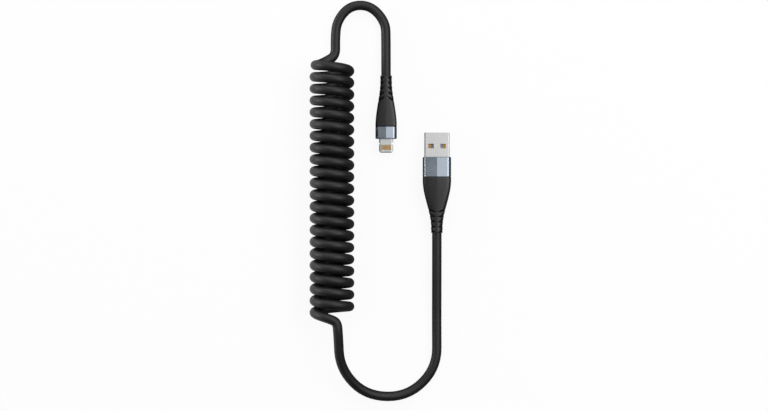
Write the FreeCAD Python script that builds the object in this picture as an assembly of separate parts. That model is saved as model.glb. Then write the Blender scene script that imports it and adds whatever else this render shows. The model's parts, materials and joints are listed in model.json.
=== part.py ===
import FreeCAD
import Part

import math
import os
from collections import namedtuple

from FreeCAD import Vector

# Coiled charging cable: a curly cord with a charger plug on one end and a phone plug on the other.
# It lies on a flat surface, +Z up, in millimetres. The origin is on that surface, under the middle of
# the box that holds the two plugs. Each plug is drawn along its own axis and then placed: x runs across
# the plug, y from the cord end of its boot to its tip, and z out of its wide face.

# Cord
cord_diameter = 4.6
wire_count = 4
coil_outer_diameter = 21.4
coil_length = 126.4
coil_axis_x = -38.9
coil_middle_y = -17.1
phone_lead_offset = 1.5
charger_lead_offset = 2.0

# Places of the two plugs
plug_spacing = 24.45
tail_spacing = 75.9

# Boots and collars, alike on both plugs
tail_wall = 0.5
boot_tail_length = 2.6
boot_wall = 0.9
boot_squareness = 5.5
collar_wall = 0.5
collar_inner_corner = 1.7
collar_edge = 0.25
mould_recess = 0.2
ridge_rise = 0.45

# Ribs of the strain reliefs
groove_count = 5
groove_pitch = 2.41
groove_width = 1.1
groove_slope = 0.42
groove_depth = 0.3

# Solder joints, alike on both plugs
solder_round = 0.2

# Charger plug
shell_width = 12.0
shell_thickness = 4.5
shell_wall = 0.3
shell_inner_corner = 0.3
shell_exposed = 11.75
shell_seat = 7.0
shell_seam = 0.1
window_width = 2.6
window_length = 2.2
window_offset = 2.86
window_setback = 6.5
dimple_diameter = 0.9
dimple_depth = 0.12
dimple_setback = 9.8
charger_mould_side = 0.3
charger_mould_face = 1.25
charger_boot_length = 26.9
charger_boot_shoulder = 1.5
charger_first_groove = 0.05
charger_collar_length = 9.6
charger_cord_depth = 13.0
tongue_setback = 0.5
mouth_depth = 9.0
insulator_overhang = 1.0
contact_width = 1.0
contact_thickness = 0.25
contact_proud = 0.05
contact_offsets = (-3.5, -1.0, 1.0, 3.5)
power_contact_setback = 1.0
signal_contact_setback = 2.0
contact_tail = 2.4
charger_wire_diameter = 1.0
charger_wire_gap = 0.12
charger_solder_width = 0.8
charger_solder_length = 1.5
charger_solder_height = 0.7
charger_wire_lap = 0.3

# Phone plug
tab_width = 6.7
tab_thickness = 1.5
tab_exposed = 6.7
tab_seat = 4.5
tab_side_flat = 0.1
tab_tip_corner = 1.1
tab_tip_edge = 0.45
tab_notch_diameter = 1.1
tab_notch_depth = 0.35
tab_notch_setback = 4.3
tab_rail = 0.7
tab_tip_wall = 1.0
tab_window_length = 2.9
pad_count = 8
pad_pitch = 0.6
pad_width = 0.46
pad_length = 2.2
pad_recess = 0.04
board_thickness = 0.6
board_width = 6.4
board_rail = 0.2
board_tip_gap = 0.3
phone_wire_run = 5.5
board_step_setback = 0.4
phone_mould_side = 1.3
phone_mould_face = 1.85
phone_boot_length = 24.6
phone_boot_shoulder = 0.2
phone_first_groove = 0.6
phone_collar_length = 5.9
phone_cord_depth = 11.0
chip_size = (2.6, 2.2, 0.7)
capacitor_size = (0.6, 1.0, 0.5)
resistor_size = (0.6, 1.0, 0.35)
passive_offset = 2.3
phone_wire_diameter = 0.84
phone_wire_gap = 0.3
phone_wire_pitch = 1.45
phone_solder_width = 0.9
phone_solder_length = 1.3
phone_solder_height = 0.6
phone_solder_inset = 0.4

# One boot: its sizes at the collar, its length, the straight length before the collar and the distance
# of the first groove from the tail
BootForm = namedtuple("BootForm", "width thickness length shoulder first_groove")

# Sizes and places worked out from the values above
cord_radius = cord_diameter / 2
tail_diameter = cord_diameter + 2 * tail_wall
coil_radius = coil_outer_diameter / 2
coil_start_y = coil_middle_y + coil_length / 2
coil_end_y = coil_middle_y - coil_length / 2
collar_corner = collar_inner_corner + collar_wall

charger_width = shell_width + 2 * (charger_mould_side + collar_wall)
charger_thickness = shell_thickness + 2 * (charger_mould_face + collar_wall)
charger_boot_form = BootForm(
    charger_width, charger_thickness, charger_boot_length, charger_boot_shoulder, charger_first_groove
)
charger_collar_front = charger_boot_length + charger_collar_length
shell_corner = shell_inner_corner + shell_wall
shell_front = charger_collar_front + shell_exposed
shell_rear = charger_collar_front - shell_seat
insulator_rear = shell_rear - insulator_overhang
contact_rear = insulator_rear - contact_tail

phone_width = tab_width + 2 * (phone_mould_side + collar_wall)
phone_thickness = tab_thickness + 2 * (phone_mould_face + collar_wall)
phone_boot_form = BootForm(
    phone_width, phone_thickness, phone_boot_length, phone_boot_shoulder, phone_first_groove
)
phone_collar_front = phone_boot_length + phone_collar_length
tab_edge = (tab_thickness - tab_side_flat) / 2
tab_tip = phone_collar_front + tab_exposed
tab_rear = phone_collar_front - tab_seat
tab_window_front = tab_tip - tab_tip_wall
tab_window_rear = tab_window_front - tab_window_length
tab_window_width = tab_width - 2 * tab_rail
board_tongue_width = tab_window_width - 2 * board_rail
board_start = phone_cord_depth + phone_wire_run
board_step = tab_rear - board_step_setback
phone_joint_start = board_start + phone_solder_inset
chip_middle = (phone_joint_start + phone_solder_length + board_step) / 2

phone_axis_x = -(plug_spacing + charger_width / 2 - phone_width / 2) / 2
charger_axis_x = phone_axis_x + plug_spacing
phone_tail_y = tail_spacing / 2
charger_tail_y = -tail_spacing / 2
phone_axis_z = phone_thickness / 2
charger_axis_z = charger_thickness / 2

# Route of the cord where it isn't coiled. The ends in the plugs and at the coil follow those pieces.
phone_lead_x = coil_axis_x + phone_lead_offset
charger_lead_x = coil_axis_x + charger_lead_offset
coil_top_strand_z = coil_outer_diameter - cord_radius
phone_lead_route = (
    (phone_axis_x, phone_tail_y - phone_cord_depth, phone_axis_z),
    (phone_axis_x, 45.8, phone_axis_z),
    (-13.1, 64.9, cord_radius),
    (-20.2, 72.0, cord_radius),
    (-30.3, 72.0, cord_radius),
    (-37.6, 64.9, cord_radius),
    (phone_lead_x, 55.4, cord_radius),
    (phone_lead_x, coil_start_y, cord_radius),
)
charger_lead_route = (
    (charger_lead_x, coil_end_y, coil_top_strand_z),
    (charger_lead_x, -86.0, coil_top_strand_z),
    (-36.0, -95.0, 14.6),
    (-35.4, -104.6, 6.6),
    (-22.0, -117.3, cord_radius),
    (-2.5, -117.3, cord_radius),
    (charger_axis_x, -103.5, cord_radius),
    (charger_axis_x, -75.0, cord_radius),
    (charger_axis_x, -49.5, charger_axis_z),
    (charger_axis_x, charger_tail_y + charger_cord_depth, charger_axis_z),
)
arc_share = 0.45

section_points = 48
boot_sections = 9
cut_margin = 1.0


def block(x_range, y_range, z_range):
    """Return a box between the given limits."""
    corner = Vector(x_range[0], y_range[0], z_range[0])
    return Part.makeBox(
        x_range[1] - x_range[0], y_range[1] - y_range[0], z_range[1] - z_range[0], corner
    )


def rounded_wire(points, radii):
    """Return a closed wire through the points, with each corner turned into an arc of its radius."""
    count = len(points)
    corners = []
    for index in range(count):
        corner = points[index]
        radius = radii[index]
        before = (points[index - 1] - corner).normalize()
        after = (points[(index + 1) % count] - corner).normalize()
        half_angle = before.getAngle(after) / 2
        reach = radius / math.tan(half_angle)
        bisector = (before + after).normalize()
        middle = corner + bisector * (radius / math.sin(half_angle) - radius)
        corners.append((corner + before * reach, middle, corner + after * reach))
    edges = []
    for index in range(count):
        start, middle, end = corners[index]
        edges.append(Part.LineSegment(corners[index - 1][2], start).toShape())
        if radii[index] > 0:
            edges.append(Part.Arc(start, middle, end).toShape())
    return Part.Wire(edges)


def rounded_bar(width, thickness, corner, y_range):
    """Return a bar of rounded rectangular section along the plug's axis."""
    half_x = width / 2
    half_z = thickness / 2
    y_start = y_range[0]
    outline = [
        Vector(half_x, y_start, half_z),
        Vector(half_x, y_start, -half_z),
        Vector(-half_x, y_start, -half_z),
        Vector(-half_x, y_start, half_z),
    ]
    face = Part.Face(rounded_wire(outline, [corner] * 4))
    return face.extrude(Vector(0, y_range[1] - y_start, 0))


def ridged_bar(width, thickness, corner, y_range):
    """Return a bar whose two wide faces rise to a low ridge along the middle."""
    half_x = width / 2
    apex = thickness / 2
    shoulder = apex - ridge_rise
    y_start = y_range[0]
    outline = [
        Vector(0, y_start, apex),
        Vector(half_x, y_start, shoulder),
        Vector(half_x, y_start, -shoulder),
        Vector(0, y_start, -apex),
        Vector(-half_x, y_start, -shoulder),
        Vector(-half_x, y_start, shoulder),
    ]
    face = Part.Face(rounded_wire(outline, [0, corner, corner, 0, corner, corner]))
    return face.extrude(Vector(0, y_range[1] - y_start, 0))


def oval_wire(y, width, thickness, squareness, ridge):
    """Return a closed curve across the axis, whose wide sides fall away from the middle by the ridge.

    It is an ellipse at squareness 2 and nearly a rectangle above 4.
    """
    points = []
    for step in range(section_points):
        angle = 2 * math.pi * step / section_points
        across = abs(2 * math.cos(angle) / width) ** squareness
        upward = abs(2 * math.sin(angle) / thickness) ** squareness
        reach = (across + upward) ** (-1 / squareness)
        x = reach * math.cos(angle)
        fall = ridge * abs(2 * x / width) / (thickness / 2)
        points.append(Vector(x, y, reach * math.sin(angle) * (1 - fall)))
    curve = Part.BSplineCurve()
    curve.interpolate(Points=points, PeriodicFlag=True, Parameters=list(range(section_points + 1)))
    return Part.Wire(curve.toShape())


def boot_swell(y, form):
    """Return how far the boot has grown from its tail (0) to its full size (1) at y."""
    share = (y - boot_tail_length) / (form.length - form.shoulder - boot_tail_length)
    share = min(max(share, 0), 1)
    return share * share * (3 - 2 * share)


def boot_body(form, y_start, wall):
    """Return the boot's solid form from y_start to the collar, drawn in by the wall."""
    wires = []
    for step in range(boot_sections):
        y = y_start + (form.length - y_start) * step / (boot_sections - 1)
        swell = boot_swell(y, form)
        section_width = tail_diameter + (form.width - tail_diameter) * swell - 2 * wall
        section_thickness = tail_diameter + (form.thickness - tail_diameter) * swell - 2 * wall
        squareness = 2 + (boot_squareness - 2) * swell
        wires.append(oval_wire(y, section_width, section_thickness, squareness, ridge_rise * swell))
    return Part.makeLoft(wires, True, False)


def groove_cutter(y_middle, reach):
    """Return the V-shaped band that one groove takes from the strain relief."""
    y_side = y_middle + groove_slope * reach
    half_width = groove_width / 2
    outline = [
        Vector(-reach, y_side - half_width, -reach),
        Vector(0, y_middle - half_width, -reach),
        Vector(reach, y_side - half_width, -reach),
        Vector(reach, y_side + half_width, -reach),
        Vector(0, y_middle + half_width, -reach),
        Vector(-reach, y_side + half_width, -reach),
    ]
    face = Part.Face(Part.makePolygon(outline + outline[:1]))
    return face.extrude(Vector(0, 0, 2 * reach))


def boot(form, cord_depth, inner_mould):
    """Return the rubber boot, with its ribbed strain relief, cord bore and room for the inner mould."""
    body = boot_body(form, 0, 0)
    groove_floor = boot_body(form, 0, groove_depth)
    cutters = [
        groove_cutter(form.first_groove + index * groove_pitch, tail_diameter).cut(groove_floor)
        for index in range(groove_count)
    ]
    bore = Part.makeCylinder(
        cord_radius, cord_depth + cut_margin, Vector(0, -cut_margin, 0), Vector(0, 1, 0)
    )
    return body.cut(cutters).cut(bore).cut(inner_mould)


def collar(width, thickness, y_range):
    """Return the metal collar: a sleeve with a low ridge on each wide face and eased outer edges."""
    outer = ridged_bar(width, thickness, collar_corner, y_range)
    rims = [
        edge for edge in outer.Edges
        if abs(edge.BoundBox.YMin - edge.BoundBox.YMax) < collar_edge
    ]
    outer = outer.makeChamfer(collar_edge, rims)
    return outer.cut(collar_room(width, thickness, (y_range[0] - cut_margin, y_range[1] + cut_margin)))


def collar_room(width, thickness, y_range):
    """Return the space inside a collar."""
    return ridged_bar(
        width - 2 * collar_wall, thickness - 2 * collar_wall, collar_inner_corner, y_range
    )


def mould_body(form, cord_depth, collar_front):
    """Return the inner mould's outer form: tapered in the boot and filling the collar."""
    in_boot = boot_body(form, cord_depth, boot_wall)
    in_collar = collar_room(form.width, form.thickness, (form.length, collar_front - mould_recess))
    return in_boot.fuse(in_collar).removeSplitter()


def arc_path(points):
    """Return straight runs joined by a tangent arc at each point between the ends, and the arcs' radii."""
    corners = [Vector(*point) for point in points]
    edges = []
    radii = []
    start = corners[0]
    for before, corner, after in zip(corners, corners[1:], corners[2:]):
        back = before - corner
        ahead = after - corner
        reach = arc_share * min(back.Length, ahead.Length)
        back.normalize()
        ahead.normalize()
        half_angle = back.getAngle(ahead) / 2
        radius = reach * math.tan(half_angle)
        bisector = (back + ahead).normalize()
        middle = corner + bisector * (radius / math.sin(half_angle) - radius)
        arc_start = corner + back * reach
        arc_end = corner + ahead * reach
        edges.append(Part.LineSegment(start, arc_start).toShape())
        edges.append(Part.Arc(arc_start, middle, arc_end).toShape())
        radii.append(radius)
        start = arc_end
    edges.append(Part.LineSegment(start, corners[-1]).toShape())
    return Part.Wire(edges), radii


def tube(points, radius):
    """Return a round tube along straight runs and tangent arcs, with its length and bend radii."""
    path, radii = arc_path(points)
    direction = Vector(*points[1]) - Vector(*points[0])
    circle = Part.Wire(Part.makeCircle(radius, Vector(*points[0]), direction))
    return path.makePipeShell([circle], True, False), path.Length, radii


def report_lead(name, solid, length, radii):
    """Print a lead's volume against its section times its length, and its bend radii."""
    expected = math.pi * cord_radius ** 2 * length
    print(name, "length", round(length, 1), "volume", round(solid.Volume, 1), "expected", round(expected, 1))
    print(name, "radii", [round(radius, 1) for radius in radii])


def cord_pieces():
    """Return the coil and the two leads where they lie."""
    coil = Part.makeCylinder(
        coil_radius, coil_length, Vector(coil_axis_x, coil_end_y, coil_radius), Vector(0, 1, 0)
    )
    phone_lead, phone_length, phone_radii = tube(phone_lead_route, cord_radius)
    charger_lead, charger_length, charger_radii = tube(charger_lead_route, cord_radius)
    report_lead("phone_lead", phone_lead, phone_length, phone_radii)
    report_lead("charger_lead", charger_lead, charger_length, charger_radii)
    return {"coil": coil, "phone_lead": phone_lead, "charger_lead": charger_lead}


def wire_fan(cord_depth, joint_y, joint_xs, joint_z, diameter, gap):
    """Return four insulated wires, fanned out from the cord's end to their joints."""
    offset = (diameter + gap) / 2
    starts = ((-offset, -offset), (-offset, offset), (offset, offset), (offset, -offset))
    lead_in = (joint_y - cord_depth) / 4
    wires = []
    for (start_x, start_z), joint_x in zip(starts, joint_xs):
        points = (
            (start_x, cord_depth, start_z),
            (start_x, cord_depth + lead_in, start_z),
            (joint_x, joint_y - lead_in, joint_z),
            (joint_x, joint_y, joint_z),
        )
        wires.append(tube(points, diameter / 2)[0])
    return wires


def solder_joint(x, y_start, z_base, width, length, height):
    """Return one solder joint: a low lump with its upper edges rounded off."""
    lump = block((x - width / 2, x + width / 2), (y_start, y_start + length), (z_base, z_base + height))
    top_edges = [edge for edge in lump.Edges if edge.BoundBox.ZMin > z_base + height / 2]
    return lump.makeFillet(solder_round, top_edges)


def shell_piece():
    """Return the folded steel shell with its windows, seam and dimple."""
    length = (shell_rear, shell_front)
    inner = (shell_rear - cut_margin, shell_front + cut_margin)
    shell = rounded_bar(shell_width, shell_thickness, shell_corner, length)
    shell = shell.cut(insulator_room(inner))
    window_y = shell_front - window_setback
    cuts = [
        block(
            (side * window_offset - window_width / 2, side * window_offset + window_width / 2),
            (window_y - window_length / 2, window_y + window_length / 2),
            (-shell_thickness, shell_thickness),
        )
        for side in (-1, 1)
    ]
    cuts.append(block((-shell_seam / 2, shell_seam / 2), inner, (-shell_thickness, 0)))
    dimple_floor = Vector(0, shell_front - dimple_setback, shell_thickness / 2 - dimple_depth)
    cuts.append(Part.makeCylinder(dimple_diameter / 2, cut_margin, dimple_floor))
    return shell.cut(cuts)


def insulator_room(y_range):
    """Return the space inside the shell."""
    return rounded_bar(
        shell_width - 2 * shell_wall, shell_thickness - 2 * shell_wall, shell_inner_corner, y_range
    )


def contact_pieces():
    """Return the four contact strips, from their tips on the tongue to their solder tails."""
    contacts = []
    for offset in contact_offsets:
        outer = abs(offset) == max(contact_offsets)
        setback = power_contact_setback if outer else signal_contact_setback
        tip = shell_front - tongue_setback - setback
        contacts.append(block(
            (offset - contact_width / 2, offset + contact_width / 2),
            (contact_rear, tip),
            (contact_proud - contact_thickness, contact_proud),
        ))
    return contacts


def insulator_piece(contacts):
    """Return the insulator: a block at the back of the shell and a tongue under the contacts."""
    whole = insulator_room((insulator_rear, shell_front - tongue_setback))
    mouth = block(
        (-shell_width, shell_width),
        (shell_front - mouth_depth, shell_front),
        (0, shell_thickness),
    )
    return whole.cut(mouth).cut(contacts)


def charger_plug_pieces():
    """Return the charger plug's pieces along the plug's own axis."""
    contacts = contact_pieces()
    solder_rear = contact_rear + charger_wire_lap
    solders = [
        solder_joint(
            offset, solder_rear, contact_proud, charger_solder_width, charger_solder_length,
            charger_solder_height,
        )
        for offset in contact_offsets
    ]
    joint_z = contact_proud + charger_wire_diameter / 2
    wires = wire_fan(
        charger_cord_depth, solder_rear, contact_offsets, joint_z, charger_wire_diameter, charger_wire_gap
    )
    insulator = insulator_piece(contacts)
    mould = mould_body(charger_boot_form, charger_cord_depth, charger_collar_front)
    shell_space = rounded_bar(shell_width, shell_thickness, shell_corner, (shell_rear, shell_front))
    inner_mould = mould.cut([shell_space, insulator] + contacts + solders + wires)
    pieces = {
        "charger_plug_shell": shell_piece(),
        "charger_plug_insulator": insulator,
        "charger_plug_inner_mould": inner_mould,
        "charger_plug_collar": collar(
            charger_width, charger_thickness, (charger_boot_length, charger_collar_front)
        ),
        "charger_plug_boot": boot(charger_boot_form, charger_cord_depth, mould),
    }
    for index in range(wire_count):
        pieces[f"charger_plug_contact_{index + 1}"] = contacts[index]
        pieces[f"charger_plug_solder_{index + 1}"] = solders[index]
        pieces[f"charger_plug_wire_{index + 1}"] = wires[index]
    return pieces


def tab_body():
    """Return the tab's solid form: rounded edges, rounded tip and a latch notch in each side."""
    length = (tab_rear, tab_tip)
    section = rounded_bar(tab_width, tab_thickness, tab_edge, length)
    half_x = tab_width / 2
    half_z = tab_thickness / 2
    plan = Part.Face(rounded_wire(
        [
            Vector(-half_x, tab_rear, -half_z),
            Vector(half_x, tab_rear, -half_z),
            Vector(half_x, tab_tip, -half_z),
            Vector(-half_x, tab_tip, -half_z),
        ],
        [0, 0, tab_tip_corner, tab_tip_corner],
    )).extrude(Vector(0, 0, tab_thickness))
    profile = Part.Face(rounded_wire(
        [
            Vector(-half_x, tab_rear, -half_z),
            Vector(-half_x, tab_rear, half_z),
            Vector(-half_x, tab_tip, half_z),
            Vector(-half_x, tab_tip, -half_z),
        ],
        [0, 0, tab_tip_edge, tab_tip_edge],
    )).extrude(Vector(tab_width, 0, 0))
    notch_x = half_x + tab_notch_diameter / 2 - tab_notch_depth
    notches = [
        Part.makeCylinder(
            tab_notch_diameter / 2, 2 * tab_thickness,
            Vector(side * notch_x, tab_tip - tab_notch_setback, -tab_thickness),
        )
        for side in (-1, 1)
    ]
    return section.common(plan).common(profile).cut(notches)


def circuit_board():
    """Return the circuit board: a wide end for the joints and a tongue that runs into the tab."""
    half_z = board_thickness / 2
    wide_end = block((-board_width / 2, board_width / 2), (board_start, board_step), (-half_z, half_z))
    tongue = block(
        (-board_tongue_width / 2, board_tongue_width / 2),
        (board_step, tab_window_front - board_tip_gap),
        (-half_z, half_z),
    )
    return wide_end.fuse(tongue).removeSplitter()


def contact_pads(side):
    """Return the row of contact pads on one wide face of the tab."""
    pad_y = (tab_window_front + tab_window_rear) / 2
    inner_z = side * board_thickness / 2
    outer_z = side * (tab_thickness / 2 - pad_recess)
    z_range = (min(inner_z, outer_z), max(inner_z, outer_z))
    pads = []
    for index in range(pad_count):
        x = (index - (pad_count - 1) / 2) * pad_pitch
        pads.append(block(
            (x - pad_width / 2, x + pad_width / 2),
            (pad_y - pad_length / 2, pad_y + pad_length / 2),
            z_range,
        ))
    return pads


def board_parts():
    """Return the chip, capacitor and resistor on the board's upper face."""
    top = board_thickness / 2
    places = {
        "phone_plug_controller_chip": (0, chip_size),
        "phone_plug_capacitor": (-passive_offset, capacitor_size),
        "phone_plug_resistor": (passive_offset, resistor_size),
    }
    parts = {}
    for name, (x, (width, length, height)) in places.items():
        parts[name] = block(
            (x - width / 2, x + width / 2),
            (chip_middle - length / 2, chip_middle + length / 2),
            (top, top + height),
        )
    return parts


def phone_plug_pieces():
    """Return the phone plug's pieces along the plug's own axis."""
    board = circuit_board()
    upper_pads = contact_pads(1)
    lower_pads = contact_pads(-1)
    tab = tab_body()
    window = block(
        (-tab_window_width / 2, tab_window_width / 2),
        (tab_window_rear, tab_window_front),
        (-tab_thickness, tab_thickness),
    )
    carrier_face = tab_thickness / 2 - pad_recess
    carrier = block(
        (-tab_window_width / 2, tab_window_width / 2),
        (tab_window_rear, tab_window_front),
        (-carrier_face, carrier_face),
    ).cut([board] + upper_pads + lower_pads)
    board_top = board_thickness / 2
    joint_xs = [(index - (wire_count - 1) / 2) * phone_wire_pitch for index in range(wire_count)]
    solders = [
        solder_joint(
            x, phone_joint_start, board_top, phone_solder_width, phone_solder_length,
            phone_solder_height,
        )
        for x in joint_xs
    ]
    wires = wire_fan(
        phone_cord_depth, phone_joint_start, joint_xs, board_top + phone_wire_diameter / 2,
        phone_wire_diameter, phone_wire_gap,
    )
    parts = board_parts()
    mould = mould_body(phone_boot_form, phone_cord_depth, phone_collar_front)
    inner_mould = mould.cut([tab, board] + list(parts.values()) + solders + wires)
    pieces = {
        "phone_plug_tab_frame": tab.cut([window, board]),
        "phone_plug_contact_carrier": carrier,
        "phone_plug_circuit_board": board,
        "phone_plug_inner_mould": inner_mould,
        "phone_plug_collar": collar(phone_width, phone_thickness, (phone_boot_length, phone_collar_front)),
        "phone_plug_boot": boot(phone_boot_form, phone_cord_depth, mould),
    }
    pieces.update(parts)
    for index in range(wire_count):
        pieces[f"phone_plug_solder_{index + 1}"] = solders[index]
        pieces[f"phone_plug_wire_{index + 1}"] = wires[index]
    for index in range(pad_count):
        pieces[f"phone_plug_upper_contact_{index + 1}"] = upper_pads[index]
        pieces[f"phone_plug_lower_contact_{index + 1}"] = lower_pads[index]
    return pieces


def placed(pieces, origin, turn):
    """Return the pieces moved to the plug's place and turned about the vertical by the angle."""
    placement = FreeCAD.Placement(origin, FreeCAD.Rotation(Vector(0, 0, 1), turn))
    return {name: shape.transformed(placement.toMatrix(), True) for name, shape in pieces.items()}


def all_pieces():
    """Return every piece of the cable in place, by name."""
    pieces = cord_pieces()
    pieces.update(placed(
        charger_plug_pieces(), Vector(charger_axis_x, charger_tail_y, charger_axis_z), 0
    ))
    pieces.update(placed(phone_plug_pieces(), Vector(phone_axis_x, phone_tail_y, phone_axis_z), 180))
    return pieces


def main():
    """Write each piece to its own file."""
    os.makedirs("parts", exist_ok=True)
    for name, shape in all_pieces().items():
        if not shape.isValid() or len(shape.Solids) != 1:
            raise ValueError(f"{name}: valid {shape.isValid()}, solids {len(shape.Solids)}")
        shape.Solids[0].exportStep(f"parts/{name}.step")


if __name__ == "__main__":
    main()
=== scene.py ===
import json
import logging
import math
from dataclasses import dataclass, field
from enum import Enum

import bmesh
import bpy
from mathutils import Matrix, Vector


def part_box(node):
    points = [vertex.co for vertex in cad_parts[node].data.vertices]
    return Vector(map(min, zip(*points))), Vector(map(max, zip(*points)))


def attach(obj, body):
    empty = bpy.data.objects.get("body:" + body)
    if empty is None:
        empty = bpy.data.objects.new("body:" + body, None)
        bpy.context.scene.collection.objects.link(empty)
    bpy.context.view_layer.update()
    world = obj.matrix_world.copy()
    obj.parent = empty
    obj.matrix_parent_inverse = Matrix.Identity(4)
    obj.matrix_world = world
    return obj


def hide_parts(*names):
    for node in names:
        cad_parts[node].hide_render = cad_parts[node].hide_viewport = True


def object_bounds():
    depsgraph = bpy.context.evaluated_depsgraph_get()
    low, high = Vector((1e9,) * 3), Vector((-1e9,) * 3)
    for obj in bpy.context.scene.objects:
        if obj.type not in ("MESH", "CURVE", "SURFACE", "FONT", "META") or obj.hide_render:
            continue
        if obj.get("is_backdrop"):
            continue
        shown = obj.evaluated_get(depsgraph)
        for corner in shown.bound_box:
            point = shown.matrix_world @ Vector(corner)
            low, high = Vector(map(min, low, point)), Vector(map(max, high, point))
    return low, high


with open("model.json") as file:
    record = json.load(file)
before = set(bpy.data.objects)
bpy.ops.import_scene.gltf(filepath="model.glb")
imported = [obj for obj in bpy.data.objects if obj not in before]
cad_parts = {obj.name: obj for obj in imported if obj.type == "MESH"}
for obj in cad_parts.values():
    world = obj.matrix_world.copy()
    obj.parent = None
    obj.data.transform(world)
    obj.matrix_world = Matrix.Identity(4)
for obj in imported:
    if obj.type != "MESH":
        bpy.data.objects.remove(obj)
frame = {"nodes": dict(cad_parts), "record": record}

LOG = logging.getLogger("coiled_cable")
BODY = "root"
CHARGER_CONTACTS = 4

Colour = tuple[float, float, float]
Point = tuple[float, float, float]
Span = tuple[float, float]


class Grain(Enum):
    """Direction of a finish's fine relief: even all round, or drawn out along the plug's axis."""

    EVEN = (1.0, 1.0, 1.0)
    ALONG_PLUG = (1.0, 0.04, 1.0)


class Facing(Enum):
    """The way a plug's tip points along Y."""

    TIP_UP = 1
    TIP_DOWN = -1


@dataclass(frozen=True)
class Finish:
    """A procedural surface: two close tones, a range of roughness and a fine relief.

    Sizes are in metres. The tones and the roughness drift together over the mottle's size.
    """

    name: str
    dark: Colour
    light: Colour
    roughness: Span
    mottle_size: float
    grain_size: float
    grain_depth: float
    grain: Grain = Grain.EVEN
    metallic: float = 0.0
    specular: float = 0.5
    mottle_detail: float = 4.0
    mottle_span: Span = (0.3, 0.7)
    grain_detail: float = 3.0

    def material(self) -> bpy.types.Material:
        """Build the finish as a node material.

        Returns:
            The material, with its pattern on Object coordinates.
        """
        material = bpy.data.materials.new(self.name)
        material.use_nodes = True
        tree = material.node_tree
        shader = tree.nodes["Principled BSDF"]
        shader.inputs["Metallic"].default_value = self.metallic
        shader.inputs["Specular IOR Level"].default_value = self.specular
        place = tree.nodes.new("ShaderNodeTexCoord")
        mottle = tree.nodes.new("ShaderNodeTexNoise")
        mottle.inputs["Scale"].default_value = 1 / self.mottle_size
        mottle.inputs["Detail"].default_value = self.mottle_detail
        tree.links.new(place.outputs["Object"], mottle.inputs["Vector"])
        self._link_tones(tree, mottle, shader)
        self._link_roughness(tree, mottle, shader)
        self._link_grain(tree, place, shader)
        return material

    def _link_tones(
        self, tree: bpy.types.NodeTree, mottle: bpy.types.Node, shader: bpy.types.Node
    ) -> None:
        """Drive the base colour from the dark tone to the light one.

        Args:
            tree: The material's nodes.
            mottle: The noise that the tones follow.
            shader: The surface that takes the colour.
        """
        tones = tree.nodes.new("ShaderNodeValToRGB")
        for stop, place, tone in zip(tones.color_ramp.elements, self.mottle_span, (self.dark, self.light)):
            stop.position = place
            stop.color = (*tone, 1.0)
        tree.links.new(mottle.outputs["Fac"], tones.inputs["Fac"])
        tree.links.new(tones.outputs["Color"], shader.inputs["Base Color"])

    def _link_roughness(
        self, tree: bpy.types.NodeTree, mottle: bpy.types.Node, shader: bpy.types.Node
    ) -> None:
        """Drive the roughness over its range.

        Args:
            tree: The material's nodes.
            mottle: The noise that the roughness follows.
            shader: The surface that takes the roughness.
        """
        spread = tree.nodes.new("ShaderNodeMapRange")
        set_span(spread, self.mottle_span, self.roughness)
        tree.links.new(mottle.outputs["Fac"], spread.inputs["Value"])
        tree.links.new(spread.outputs["Result"], shader.inputs["Roughness"])

    def _link_grain(
        self, tree: bpy.types.NodeTree, place: bpy.types.Node, shader: bpy.types.Node
    ) -> None:
        """Add the fine relief.

        Args:
            tree: The material's nodes.
            place: The coordinates that the relief follows.
            shader: The surface that takes the relief.
        """
        stretch = tree.nodes.new("ShaderNodeMapping")
        stretch.inputs["Scale"].default_value = self.grain.value
        grain = tree.nodes.new("ShaderNodeTexNoise")
        grain.inputs["Scale"].default_value = 1 / self.grain_size
        grain.inputs["Detail"].default_value = self.grain_detail
        relief = tree.nodes.new("ShaderNodeBump")
        relief.inputs["Strength"].default_value = 1.0
        relief.inputs["Distance"].default_value = self.grain_depth
        tree.links.new(place.outputs["Object"], stretch.inputs["Vector"])
        tree.links.new(stretch.outputs["Vector"], grain.inputs["Vector"])
        tree.links.new(grain.outputs["Fac"], relief.inputs["Height"])
        tree.links.new(relief.outputs["Normal"], shader.inputs["Normal"])


def set_span(map_range: bpy.types.Node, taken: Span, given: Span) -> None:
    """Set the limits of a Map Range node.

    Args:
        map_range: The node.
        taken: Lowest and highest value that goes in.
        given: The values that come out for these two.
    """
    map_range.inputs["From Min"].default_value = taken[0]
    map_range.inputs["From Max"].default_value = taken[1]
    map_range.inputs["To Min"].default_value = given[0]
    map_range.inputs["To Max"].default_value = given[1]


def insulation(name: str, dark: Colour, light: Colour) -> Finish:
    """Return the smooth coloured insulation of one wire."""
    return Finish(name, dark, light, roughness=(0.30, 0.40), mottle_size=0.001, grain_size=0.00020,
                  grain_depth=0.000002)


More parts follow.
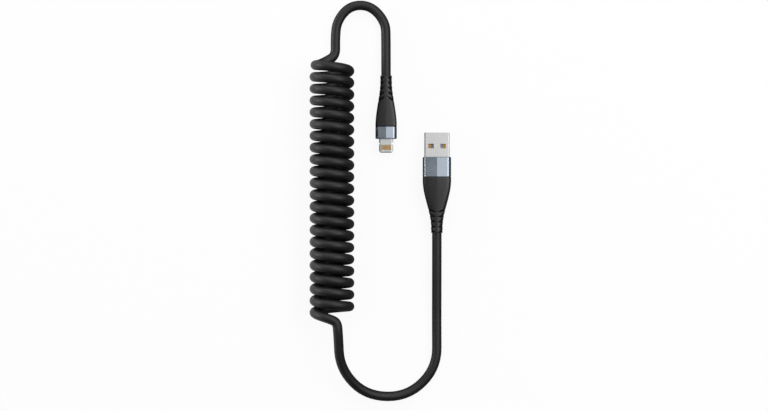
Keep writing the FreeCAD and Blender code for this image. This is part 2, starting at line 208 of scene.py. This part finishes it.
JACKET = Finish(
    name="cord_jacket_matt",
    dark=(0.0060, 0.0060, 0.0064),
    light=(0.0088, 0.0088, 0.0094),
    roughness=(0.43, 0.50),
    mottle_size=0.006,
    grain_size=0.00030,
    grain_depth=0.000006,
    specular=0.36,
)
BOOT = Finish(
    name="boot_rubber_satin",
    dark=(0.0060, 0.0060, 0.0064),
    light=(0.0088, 0.0088, 0.0094),
    roughness=(0.33, 0.39),
    mottle_size=0.004,
    grain_size=0.00022,
    grain_depth=0.000006,
    specular=0.45,
)
# Painted shade: a darker, duller rubber laid on the pocket faces beside the spine, where shade falls. The
# matt finish of the pockets is partly real; the darker tone and low specular are painted shade.
PAINTED_SHADE_RECESS = Finish(
    name="boot_recess_matt_painted_shade",
    dark=(0.0026, 0.0026, 0.0028),
    light=(0.0040, 0.0040, 0.0043),
    roughness=(0.60, 0.72),
    mottle_size=0.004,
    grain_size=0.00015,
    grain_depth=0.000008,
    specular=0.10,
)
COLLAR = Finish(
    name="collar_anodised",
    dark=(0.25, 0.288, 0.335),
    light=(0.28, 0.318, 0.365),
    roughness=(0.20, 0.25),
    mottle_size=0.003,
    grain_size=0.00012,
    grain_depth=0.0000012,
    metallic=1.0,
)
SHELL = Finish(
    name="shell_nickel",
    dark=(0.485, 0.485, 0.485),
    light=(0.535, 0.535, 0.535),
    roughness=(0.28, 0.36),
    mottle_size=0.002,
    grain_size=0.00010,
    grain_depth=0.0000015,
    grain=Grain.ALONG_PLUG,
    metallic=1.0,
)
TAB = Finish(
    name="tab_steel",
    dark=(0.51, 0.52, 0.52),
    light=(0.57, 0.58, 0.58),
    roughness=(0.26, 0.34),
    mottle_size=0.002,
    grain_size=0.00010,
    grain_depth=0.0000015,
    grain=Grain.ALONG_PLUG,
    metallic=1.0,
)
GOLD = Finish(
    name="contact_gold",
    dark=(0.35, 0.170, 0.022),
    light=(0.42, 0.215, 0.035),
    roughness=(0.22, 0.32),
    mottle_size=0.001,
    grain_size=0.00008,
    grain_depth=0.000001,
    grain=Grain.ALONG_PLUG,
    metallic=1.0,
)
INSULATOR = Finish(
    name="insulator_grey",
    dark=(0.48, 0.48, 0.49),
    light=(0.55, 0.55, 0.56),
    roughness=(0.45, 0.55),
    mottle_size=0.002,
    grain_size=0.00015,
    grain_depth=0.000003,
)
CARRIER = Finish(
    name="carrier_light_grey",
    dark=(0.46, 0.47, 0.44),
    light=(0.53, 0.54, 0.51),
    roughness=(0.40, 0.50),
    mottle_size=0.001,
    grain_size=0.00012,
    grain_depth=0.000002,
)
MOULD = Finish(
    name="mould_dark_grey",
    dark=(0.018, 0.018, 0.020),
    light=(0.026, 0.026, 0.028),
    roughness=(0.45, 0.58),
    mottle_size=0.002,
    grain_size=0.00018,
    grain_depth=0.000005,
)
BOARD = Finish(
    name="board_green",
    dark=(0.016, 0.10, 0.035),
    light=(0.024, 0.15, 0.055),
    roughness=(0.25, 0.35),
    mottle_size=0.0008,
    grain_size=0.00020,
    grain_depth=0.000003,
)
CHIP = Finish(
    name="chip_black",
    dark=(0.012, 0.012, 0.012),
    light=(0.020, 0.020, 0.020),
    roughness=(0.50, 0.62),
    mottle_size=0.0006,
    grain_size=0.00006,
    grain_depth=0.000002,
)
CERAMIC = Finish(
    name="capacitor_ceramic",
    dark=(0.28, 0.18, 0.10),
    light=(0.36, 0.24, 0.14),
    roughness=(0.45, 0.60),
    mottle_size=0.0005,
    grain_size=0.00008,
    grain_depth=0.000002,
)
SOLDER = Finish(
    name="solder_tin",
    dark=(0.50, 0.51, 0.52),
    light=(0.60, 0.61, 0.62),
    roughness=(0.22, 0.38),
    mottle_size=0.0006,
    grain_size=0.00020,
    grain_depth=0.000006,
    metallic=1.0,
)
WIRE_RED = insulation("wire_red", dark=(0.45, 0.020, 0.015), light=(0.55, 0.030, 0.022))
WIRE_WHITE = insulation("wire_white", dark=(0.68, 0.68, 0.65), light=(0.76, 0.76, 0.73))
WIRE_GREEN = insulation("wire_green", dark=(0.020, 0.26, 0.06), light=(0.030, 0.34, 0.08))
WIRE_BLACK = insulation("wire_black", dark=(0.012, 0.012, 0.012), light=(0.018, 0.018, 0.018))

SLOT_FINISHES: dict[str, Finish] = {
    "cord_jacket": JACKET,
    "boot_rubber": BOOT,
    "collar_metal": COLLAR,
    "shell_steel": SHELL,
    "tab_steel": TAB,
    "contact_gold": GOLD,
    "insulator_plastic": INSULATOR,
    "carrier_plastic": CARRIER,
    "mould_plastic": MOULD,
    "board_laminate": BOARD,
    "chip_plastic": CHIP,
    "capacitor_ceramic": CERAMIC,
    "solder": SOLDER,
    "wire_red": WIRE_RED,
    "wire_white": WIRE_WHITE,
    "wire_green": WIRE_GREEN,
    "wire_black": WIRE_BLACK,
}


class Wardrobe:
    """The finishes as materials, one for each slot of the record."""

    def __init__(self) -> None:
        """Build every finish once."""
        self.materials = {slot: finish.material() for slot, finish in SLOT_FINISHES.items()}
        # The pockets' rubber, which carries painted shade.
        self.painted_shade_recess = PAINTED_SHADE_RECESS.material()

    def dress_nodes(self) -> list[str]:
        """Give each node of the frame the finish of its slot.

        Returns:
            The names of the nodes.
        """
        names = []
        for entry in frame["record"]["subparts"]:
            node = frame["nodes"][entry["node"]]
            node.data.materials.clear()
            node.data.materials.append(self.materials[entry["material_slot"]])
            names.append(entry["node"])
        return names

    def dress_piece(self, piece: bpy.types.Object, slot: str) -> None:
        """Give a new piece the finish of a slot.

        Args:
            piece: The mesh or curve to dress.
            slot: The record's material slot.
        """
        piece.data.materials.append(self.materials[slot])


def eased(share: float) -> float:
    """Return a smooth step from 0 to 1 over a share from 0 to 1."""
    share = min(max(share, 0.0), 1.0)
    return share * share * (3 - 2 * share)


def node_middle(node: str) -> Vector:
    """Return the middle of a node's box."""
    low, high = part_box(node)
    return (low + high) / 2


@dataclass
class CurlyCord:
    """The cord from the phone plug through the coil to the charger plug, in metres.

    The coil's first quarter turn is pulled towards the phone lead and drawn in towards the axis, and its last
    quarter turn is pulled towards the charger lead.
    """

    diameter: float = 0.0046
    length: float = 1.39
    coil_axis: tuple[float, float] = (-0.0389, 0.0107)
    strand_radius: float = 0.0084
    pitch: float = 0.005617
    first_lobe_y: float = 0.04225
    turns: int = 21
    points_per_turn: int = 16
    start_pull: float = 0.0036
    start_pull_power: int = 3
    start_draw: float = 0.0010
    end_pull: float = 0.0015
    end_pull_power: int = 2
    phone_lead: tuple[Point, ...] = (
        (-0.0131, 0.0458, 0.0031),
        (-0.0131, 0.0549, 0.0024),
        (-0.0133, 0.0638, 0.0023),
        (-0.0205, 0.0719, 0.0023),
        (-0.0304, 0.0719, 0.0023),
        (-0.0369, 0.0642, 0.0023),
        (-0.0376, 0.0552, 0.0023),
        (-0.0374, 0.0476, 0.0023),
    )
    charger_lead: tuple[Point, ...] = (
        (-0.0362, -0.0800, 0.0191),
        (-0.0357, -0.0850, 0.0190),
        (-0.0350, -0.1023, 0.0140),
        (-0.0226, -0.1163, 0.0060),
        (-0.0025, -0.1171, 0.0023),
        (0.0115, -0.1032, 0.0023),
        (0.0114, -0.0839, 0.0023),
        (0.0114, -0.0750, 0.0023),
        (0.0114, -0.0495, 0.0040),
    )
    bevel_steps: int = 10
    spline_steps: int = 7

    def plug_end(self, lead: str, boot: str, facing: Facing) -> Point:
        """Return the cord's end inside a boot.

        Args:
            lead: The node of the lead that goes into the boot.
            boot: The node of the boot.
            facing: The way the plug's tip points.

        Returns:
            The point on the boot's axis where the cord stops.
        """
        low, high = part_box(lead)
        axis = node_middle(boot)
        depth = high.y if facing is Facing.TIP_UP else low.y
        return (axis.x, depth, axis.z)

    def coil_points(self) -> list[Point]:
        """Work out the helix, from its underside at the start to its top at the end.

        Returns:
            The control points of the coil's turns.
        """
        quarter = self.points_per_turn // 4
        last = self.turns * self.points_per_turn + quarter
        reach = self.strand_radius / math.cos(math.pi / self.points_per_turn)
        points = []
        for step in range(1 - quarter, last + 1):
            angle = 2 * math.pi * step / self.points_per_turn
            before_first = max(0.0, -step / quarter)
            after_last = max(0.0, (step - last + quarter) / quarter)
            pull = self.start_pull * before_first ** self.start_pull_power
            pull -= self.end_pull * after_last ** self.end_pull_power
            draw = self.start_draw * max(0.0, (quarter - step) / (2 * quarter))
            points.append((
                self.coil_axis[0] - (reach - draw) * math.cos(angle),
                self.first_lobe_y - self.pitch * step / self.points_per_turn + pull,
                self.coil_axis[1] + (reach - draw) * math.sin(angle),
            ))
        return points

    def route(self) -> list[Point]:
        """Return all control points, from the phone plug to the charger plug."""
        return [
            self.plug_end("phone_lead", "phone_plug_boot", Facing.TIP_DOWN),
            *self.phone_lead,
            *self.coil_points(),
            *self.charger_lead,
            self.plug_end("charger_lead", "charger_plug_boot", Facing.TIP_UP),
        ]

    def build(self, wardrobe: Wardrobe) -> bpy.types.Object:
        """Lay the cord as one smooth curve in place of the coil and the leads.

        Args:
            wardrobe: The materials.

        Returns:
            The cord's curve object.
        """
        curve = bpy.data.curves.new("curly_cord", "CURVE")
        curve.dimensions = "3D"
        curve.bevel_depth = self.diameter / 2
        curve.bevel_resolution = self.bevel_steps
        curve.use_fill_caps = True
        spline = curve.splines.new("NURBS")
        route = self.route()
        spline.points.add(len(route) - 1)
        for point, place in zip(spline.points, route):
            point.co = (*place, 1.0)
        spline.order_u = 3
        spline.use_endpoint_u = True
        spline.resolution_u = self.spline_steps
        cord = bpy.data.objects.new("curly_cord", curve)
        bpy.context.scene.collection.objects.link(cord)
        wardrobe.dress_piece(cord, "cord_jacket")
        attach(cord, BODY)
        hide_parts("coil", "phone_lead", "charger_lead")
        return cord


@dataclass
class RibbedBoot:
    """A rubber boot with its ribbed strain relief, drawn from its tail to its collar, in metres."""

    node: str
    facing: Facing
    shoulder: float
    first_groove: float
    groove_slope: float
    tail_radius: float = 0.0028
    bore_radius: float = 0.0023
    bore_depth: float = 0.0015
    tail_length: float = 0.0026
    squareness: float = 5.5
    ridge_rise: float = 0.00045
    ridge_round: float = 0.0005
    tail_round: float = 0.00025
    edge_round: float = 0.00022
    edge_shares: tuple[float, ...] = (0.5, 0.8, 0.95, 1.0)
    groove_count: int = 5
    groove_pitch: float = 0.00241
    groove_width: float = 0.0014
    groove_bend: float = 0.0008
    spine_half: float = 0.0007
    spine_depth: float = 0.00006
    pocket_place: float = 0.0019
    pocket_depth: float = 0.00049
    # Groove depth beyond which a face takes the painted shade.
    painted_shade_from: float = 0.00017
    rail_start: float = 0.86
    rail_depth_share: float = 0.25
    skin_share: float = 0.99
    segments: int = 96
    rib_step: float = 0.00013
    body_step: float = 0.0006
    crease_degrees: float = 50.0
    low: Vector = field(init=False)
    high: Vector = field(init=False)

    def __post_init__(self) -> None:
        """Take the boot's box from the frame."""
        self.low, self.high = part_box(self.node)

    @property
    def length(self) -> float:
        """Return the boot's length along its axis."""
        return self.high.y - self.low.y

    @property
    def tail(self) -> Vector:
        """Return the middle of the boot's tail, where the cord comes out."""
        middle = (self.low + self.high) / 2
        middle.y = self.low.y if self.facing is Facing.TIP_UP else self.high.y
        return middle

    def swell(self, along: float) -> float:
        """Return how far the boot has grown from its tail (0) to its full size (1)."""
        return eased((along - self.tail_length) / (self.length - self.shoulder - self.tail_length))

    def skin_point(self, angle: float, along: float) -> tuple[float, float]:
        """Place a point on the smooth skin: round at the tail, nearly square with low ridges at the collar.

        Args:
            angle: The direction across the axis, from +X towards +Z.
            along: The distance from the tail.

        Returns:
            The point's x and z from the axis.
        """
        swell = self.swell(along)
        half_width = self.half_width(along)
        half_thickness = self.tail_radius + ((self.high.z - self.low.z) / 2 - self.tail_radius) * swell
        power = 2 + (self.squareness - 2) * swell
        across = abs(math.cos(angle) / half_width) ** power
        upward = abs(math.sin(angle) / half_thickness) ** power
        reach = (across + upward) ** (-1 / power) - self.edge_draw(along)
        x = reach * math.cos(angle)
        lean = (math.hypot(x, self.ridge_round) - self.ridge_round) / half_width
        fall = self.ridge_rise * swell * lean / half_thickness
        return x, reach * math.sin(angle) * (1 - fall)

    def edge_draw(self, along: float) -> float:
        """Return how far the skin is drawn in by the rounded edge at the collar."""
        into = max(0.0, along - self.length + self.edge_round) / self.edge_round
        return self.edge_round * (1 - math.sqrt(max(0.0, 1 - into * into)))

    def half_width(self, along: float) -> float:
        """Return half the boot's width at a distance from the tail."""
        full = (self.high.x - self.low.x) / 2
        return self.tail_radius + (full - self.tail_radius) * self.swell(along)

    def groove_share(self, x: float, along: float) -> float:
        """Tell how far in a groove a point is.

        Args:
            x: The point's distance across from the axis.
            along: The distance from the tail.

        Returns:
            A share from 0 on a rib to 1 on a groove's floor.
        """
        bow = self.groove_slope * (math.hypot(x, self.groove_bend) - self.groove_bend)
        share = 0.0
        for index in range(self.groove_count):
            middle = self.first_groove + index * self.groove_pitch + bow
            share = max(share, eased(1 - 2 * abs(along - middle) / self.groove_width))
        return share

    def groove_depth(self, x: float, along: float) -> float:
        """Tell how deep the relief is cut: little on the spine, most beside it and slightly on the rails.

        Args:
            x: The point's distance across from the axis.
            along: The distance from the tail.

        Returns:
            The depth below the smooth skin.
        """
        beside = eased((abs(x) - self.spine_half) / (self.pocket_place - self.spine_half))
        depth = self.spine_depth + (self.pocket_depth - self.spine_depth) * beside
        rail = eased((abs(x) / self.half_width(along) - self.rail_start) / (1 - self.rail_start))
        return depth * (1 - rail * (1 - self.rail_depth_share)) * self.groove_share(x, along)

    def stations(self) -> list[float]:
        """Space the boot's rings: close on the ribs and at the edge, wider on the smooth body.

        Returns:
            The distances of the rings from the tail.
        """
        ribs_end = self.first_groove + self.groove_count * self.groove_pitch + self.groove_width
        rib_rings = int(ribs_end / self.rib_step)
        edge_start = self.length - self.edge_round
        body_rings = int((edge_start - ribs_end) / self.body_step)
        ribbed = ribs_end - self.tail_round
        ribs = [self.tail_round + ribbed * ring / rib_rings for ring in range(rib_rings)]
        body = [ribs_end + (edge_start - ribs_end) * ring / body_rings for ring in range(body_rings + 1)]
        edge = [edge_start + self.edge_round * share for share in self.edge_shares]
        return ribs + body + edge

    def build(self, wardrobe: Wardrobe) -> bpy.types.Object:
        """Model the boot in place of its node.

        Args:
            wardrobe: The materials.

        Returns:
            The boot's mesh object.
        """
        mesh_work = bmesh.new()
        bore_share = self.bore_radius / self.tail_radius
        circle = bmesh.ops.create_circle(mesh_work, segments=self.segments, radius=bore_share)
        bmesh.ops.translate(mesh_work, verts=circle["verts"], vec=(0, 0, self.bore_depth))
        rings = [(bore_share, 0.0), (1 - self.tail_round / self.tail_radius, 0.0)]
        rings += [(1.0, along) for along in self.stations()]
        edges = list(mesh_work.edges)
        bmesh.ops.contextual_create(mesh_work, geom=edges)
        for share, along in rings:
            grown = bmesh.ops.extrude_edge_only(mesh_work, edges=edges)["geom"]
            edges = [part for part in grown if isinstance(part, bmesh.types.BMEdge)]
            for vert in (part for part in grown if isinstance(part, bmesh.types.BMVert)):
                direction = Vector((vert.co.x, vert.co.y)).normalized()
                vert.co = (direction.x * share, direction.y * share, along)
        bmesh.ops.contextual_create(mesh_work, geom=edges)
        for face in mesh_work.faces:
            # Faces deep in the pockets take the second material, which paints shade into them.
            face.material_index = int(self.in_painted_shade_pocket(face.calc_center_median()))
        for vert in mesh_work.verts:
            vert.co = self.placed(vert.co)
        bmesh.ops.recalc_face_normals(mesh_work, faces=mesh_work.faces)
        return self._finish_mesh(mesh_work, wardrobe)

    def in_painted_shade_pocket(self, drawn: Vector) -> bool:
        """Return whether a drawn point lies in one of the pockets beside the spine, where the painted shade
        goes.
        """
        x, _ = self.skin_point(math.atan2(drawn.y, drawn.x), drawn.z)
        return self.on_skin(drawn) and self.groove_depth(x, drawn.z) > self.painted_shade_from

    def on_skin(self, drawn: Vector) -> bool:
        """Return whether a drawn point lies on the outer skin, not on the tail's end or in the bore."""
        return math.hypot(drawn.x, drawn.y) > self.skin_share

    def placed(self, drawn: Vector) -> Vector:
        """Move a drawn point to its place on the boot.

        Args:
            drawn: The share of the radius in x and y, and the distance from the tail in z.

        Returns:
            Where the point lies.
        """
        way = self.facing.value
        if self.on_skin(drawn):
            x, z = self.skin_point(math.atan2(drawn.y, drawn.x), drawn.z)
            inward = 1 - self.groove_depth(x, drawn.z) / math.hypot(x, z)
            x, z = x * inward, z * inward
        else:
            x, z = drawn.x * self.tail_radius, drawn.y * self.tail_radius
        return self.tail + Vector((way * x, way * drawn.z, z))

    def _finish_mesh(self, mesh_work: bmesh.types.BMesh, wardrobe: Wardrobe) -> bpy.types.Object:
        """Turn the drawn boot into an object that rides in place of its node.

        Args:
            mesh_work: The boot's faces, which are freed.
            wardrobe: The materials.

        Returns:
            The boot's mesh object.
        """
        name = self.node + "_ribbed"
        mesh = bpy.data.meshes.new(name)
        for face in mesh_work.faces:
            face.smooth = True
        mesh_work.to_mesh(mesh)
        mesh_work.free()
        mesh.set_sharp_from_angle(angle=math.radians(self.crease_degrees))
        boot = bpy.data.objects.new(name, mesh)
        bpy.context.scene.collection.objects.link(boot)
        wardrobe.dress_piece(boot, "boot_rubber")
        # Second slot: the painted shade for the pockets.
        mesh.materials.append(wardrobe.painted_shade_recess)
        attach(boot, BODY)
        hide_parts(self.node)
        return boot


@dataclass(frozen=True)
class Softbox:
    """A rectangular studio lamp of even brightness, in metres.

    It is wide along X and deep along Y when it hangs flat.
    """

    name: str
    place: Point
    aim: Point
    width: float
    depth: float
    brightness: float

    def build(self) -> None:
        """Hang the lamp and turn it to its aim."""
        lamp = bpy.data.lights.new(self.name, "AREA")
        lamp.shape = "RECTANGLE"
        lamp.size = self.width
        lamp.size_y = self.depth
        lamp.energy = self.brightness * math.pi * self.width * self.depth
        holder = bpy.data.objects.new(self.name, lamp)
        bpy.context.scene.collection.objects.link(holder)
        holder.location = self.place
        way = Vector(self.aim) - Vector(self.place)
        holder.rotation_euler = Vector((0, 0, -1)).rotation_difference(way).to_euler()


@dataclass
class Studio:
    """The floor, the lamps, the surroundings and the camera above the cable, in metres."""

    camera_place: Point = (-0.01406, -0.02475, 0.717)
    image_width: int = 768
    focal_pixels: float = 1480.0
    sensor_width: float = 36.0
    clip: Span = (0.01, 20.0)
    floor_size: float = 8.0
    floor_white: float = 0.85
    floor_glow: float = 0.91
    # Painted reflection: the floor's glow as glossy rays see it, faded by x from white to dim, which paints
    # shade onto the cord's right rims.
    mirror_glow: Span = (1.0, 0.10)
    mirror_fade: Span = (-0.055, -0.047)
    sky_levels: Span = (0.08, 0.72)
    sky_bright_way: Point = (-0.35, 0.75, 0.15)
    sky_range: Span = (-0.50, 0.70)
    softboxes: tuple[Softbox, ...] = (
        Softbox(
            name="key_right",
            place=(0.70, 0.17, 0.84),
            aim=(0.0, -0.02, 0.0),
            width=0.55,
            depth=1.00,
            brightness=3.3,
        ),
        Softbox(
            name="overhead",
            place=(0.208, 0.15, 0.95),
            aim=(0.208, 0.15, 0.0),
            width=0.384,
            depth=1.00,
            brightness=1.25,
        ),
        Softbox(
            name="back",
            place=(-0.05, 0.90, 0.63),
            aim=(-0.03, 0.0, 0.0),
            width=1.00,
            depth=0.70,
            brightness=1.5,
        ),
        Softbox(
            name="side_left",
            place=(-0.97, 0.22, 0.22),
            aim=(-0.03, 0.0, 0.0),
            width=0.42,
            depth=0.85,
            brightness=4.6,
        ),
    )

    def build(self) -> None:
        """Set up the whole studio."""
        self._floor()
        self._surroundings()
        for softbox in self.softboxes:
            softbox.build()
        self._camera()

    def _floor(self) -> None:
        """Lay a wide white floor that shows the cable's shadow."""
        work = bmesh.new()
        bmesh.ops.create_grid(work, x_segments=1, y_segments=1, size=self.floor_size / 2)
        mesh = bpy.data.meshes.new("floor")
        work.to_mesh(mesh)
        work.free()
        floor = bpy.data.objects.new("floor", mesh)
        bpy.context.scene.collection.objects.link(floor)
        mesh.materials.append(self._floor_material())
        floor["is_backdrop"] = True

    def _floor_material(self) -> bpy.types.Material:
        """Mix the floor's white, which keeps a faint shadow, with painted shade that dims it on the right in
        reflections.

        Returns:
            The floor's material.
        """
        material = bpy.data.materials.new("floor_white")
        material.use_nodes = True
        tree = material.node_tree
        tree.nodes.clear()
        matt = tree.nodes.new("ShaderNodeBsdfDiffuse")
        matt.inputs["Color"].default_value = (self.floor_white,) * 3 + (1.0,)
        glow = tree.nodes.new("ShaderNodeEmission")
        path = tree.nodes.new("ShaderNodeLightPath")
        direct = path.outputs["Is Camera Ray"]
        mirrored = self._larger(tree, path.outputs["Is Glossy Ray"], path.outputs["Is Transmission Ray"])
        share = tree.nodes.new("ShaderNodeMath")
        share.operation = "MULTIPLY"
        share.inputs[1].default_value = self.floor_glow
        mix = tree.nodes.new("ShaderNodeMixShader")
        output = tree.nodes.new("ShaderNodeOutputMaterial")
        # The glow that reflections see follows the painted shade fade.
        tree.links.new(self._larger(tree, direct, self._painted_mirror_shade(tree)), glow.inputs["Strength"])
        tree.links.new(self._larger(tree, direct, mirrored), share.inputs[0])
        tree.links.new(share.outputs[0], mix.inputs["Fac"])
        tree.links.new(matt.outputs["BSDF"], mix.inputs[1])
        tree.links.new(glow.outputs["Emission"], mix.inputs[2])
        tree.links.new(mix.outputs["Shader"], output.inputs["Surface"])
        return material

    def _painted_mirror_shade(self, tree: bpy.types.NodeTree) -> bpy.types.NodeSocket:
        """Paint shade onto the floor as reflections see it: white at the left of the coil and dim on its
        right, which darkens the cord's right rims.

        Args:
            tree: The floor's nodes.

        Returns:
            The brightness that reflections show.
        """
        place = tree.nodes.new("ShaderNodeTexCoord")
        across = tree.nodes.new("ShaderNodeSeparateXYZ")
        fade = tree.nodes.new("ShaderNodeMapRange")
        set_span(fade, self.mirror_fade, self.mirror_glow)
        tree.links.new(place.outputs["Object"], across.inputs["Vector"])
        tree.links.new(across.outputs["X"], fade.inputs["Value"])
        return fade.outputs["Result"]

    @staticmethod
    def _larger(
        tree: bpy.types.NodeTree, first: bpy.types.NodeSocket, second: bpy.types.NodeSocket
    ) -> bpy.types.NodeSocket:
        """Take the larger of two values.

        Args:
            tree: The material's nodes.
            first: One value.
            second: The other value.

        Returns:
            The larger value.
        """
        larger = tree.nodes.new("ShaderNodeMath")
        larger.operation = "MAXIMUM"
        tree.links.new(first, larger.inputs[0])
        tree.links.new(second, larger.inputs[1])
        return larger.outputs[0]

    def _surroundings(self) -> None:
        """Surround the cable with a plain sky, paler towards one side."""
        world = bpy.data.worlds.new("studio")
        bpy.context.scene.world = world
        world.use_nodes = True
        tree = world.node_tree
        backdrop = tree.nodes["Background"]
        backdrop.inputs["Color"].default_value = (1.0, 1.0, 1.0, 1.0)
        place = tree.nodes.new("ShaderNodeTexCoord")
        slant = tree.nodes.new("ShaderNodeVectorMath")
        slant.operation = "DOT_PRODUCT"
        slant.inputs[1].default_value = self.sky_bright_way
        fade = tree.nodes.new("ShaderNodeMapRange")
        fade.interpolation_type = "SMOOTHSTEP"
        set_span(fade, self.sky_range, self.sky_levels)
        tree.links.new(place.outputs["Generated"], slant.inputs[0])
        tree.links.new(slant.outputs["Value"], fade.inputs["Value"])
        tree.links.new(fade.outputs["Result"], backdrop.inputs["Strength"])

    def _camera(self) -> None:
        """Look straight down on the cable."""
        lens = bpy.data.cameras.new("camera")
        lens.sensor_fit = "HORIZONTAL"
        lens.sensor_width = self.sensor_width
        lens.lens = self.sensor_width * self.focal_pixels / self.image_width
        lens.clip_start, lens.clip_end = self.clip
        camera = bpy.data.objects.new("camera", lens)
        bpy.context.scene.collection.objects.link(camera)
        camera.location = self.camera_place
        bpy.context.scene.camera = camera


def charger_plug_nodes() -> list[bpy.types.Object]:
    """Find the charger plug's nodes that show from outside.

    Returns:
        The nodes' objects.
    """
    kinds = ["collar", "shell", "insulator", "inner_mould"]
    kinds += [f"contact_{index + 1}" for index in range(CHARGER_CONTACTS)]
    return [frame["nodes"]["charger_plug_" + kind] for kind in kinds]


def main() -> None:
    """Dress the cable, light it and set the camera."""
    logging.basicConfig(level=logging.INFO)
    cad_box = tuple(corner.copy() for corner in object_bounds())
    bpy.context.scene.view_settings.view_transform = "Standard"
    wardrobe = Wardrobe()
    for name in wardrobe.dress_nodes():
        LOG.info("node %s dressed", name)
    cord_maker = CurlyCord()
    cord = cord_maker.build(wardrobe)
    LOG.info("piece %s with %d points", cord.name, len(cord_maker.route()))
    phone_boot_maker = RibbedBoot(
        "phone_plug_boot", Facing.TIP_DOWN, shoulder=0.0002, first_groove=0.00075, groove_slope=0.6
    )
    charger_boot_maker = RibbedBoot(
        "charger_plug_boot", Facing.TIP_UP, shoulder=0.0015, first_groove=0.0001, groove_slope=0.42
    )
    phone_boot = phone_boot_maker.build(wardrobe)
    charger_boot = charger_boot_maker.build(wardrobe)
    for boot in (phone_boot, charger_boot):
        LOG.info("piece %s with %d faces", boot.name, len(boot.data.polygons))
    tuple(phone_boot_maker.tail)
    charger_plug_nodes()
    Studio().build()


if __name__ == "__main__":
    main()
